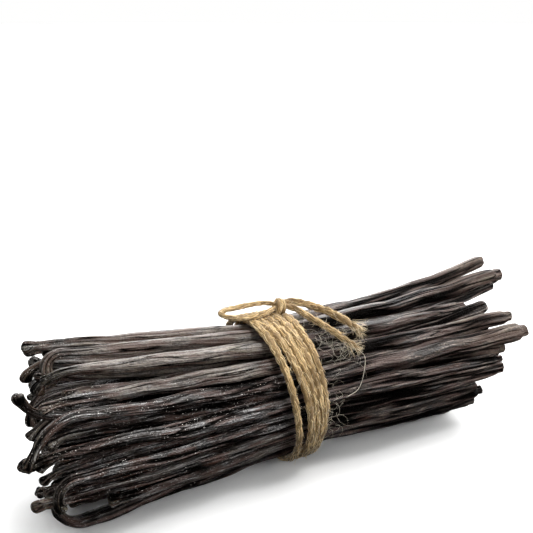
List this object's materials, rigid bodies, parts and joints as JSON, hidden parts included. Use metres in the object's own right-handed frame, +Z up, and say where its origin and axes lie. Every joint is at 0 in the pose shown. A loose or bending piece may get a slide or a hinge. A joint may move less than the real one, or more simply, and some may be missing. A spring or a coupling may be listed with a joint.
{
  "type": "bundle of vanilla pods",
  "caption": "Bundle of dark, wrinkled vanilla pods of uneven length, curled at the stem ends and fanned at the tips, tied round the middle with a bow of golden jute twine.",
  "frame": {"origin": "on the table plane, under the middle of the bundle's box", "axes": "+X along the pods towards their blossom tips, +Y to the back, +Z up; the pods are seen from the front with the curled stem ends on the left"},
  "size_m": [0.1753, 0.0528, 0.0509],
  "materials": {
    "pod_skin": "wrinkled, slightly oily",
    "jute": "hairy two-ply twine"
  },
  "bodies": {
    "root": {"pods": "pod_skin", "twine": "jute"}
  },
  "joints": []
}
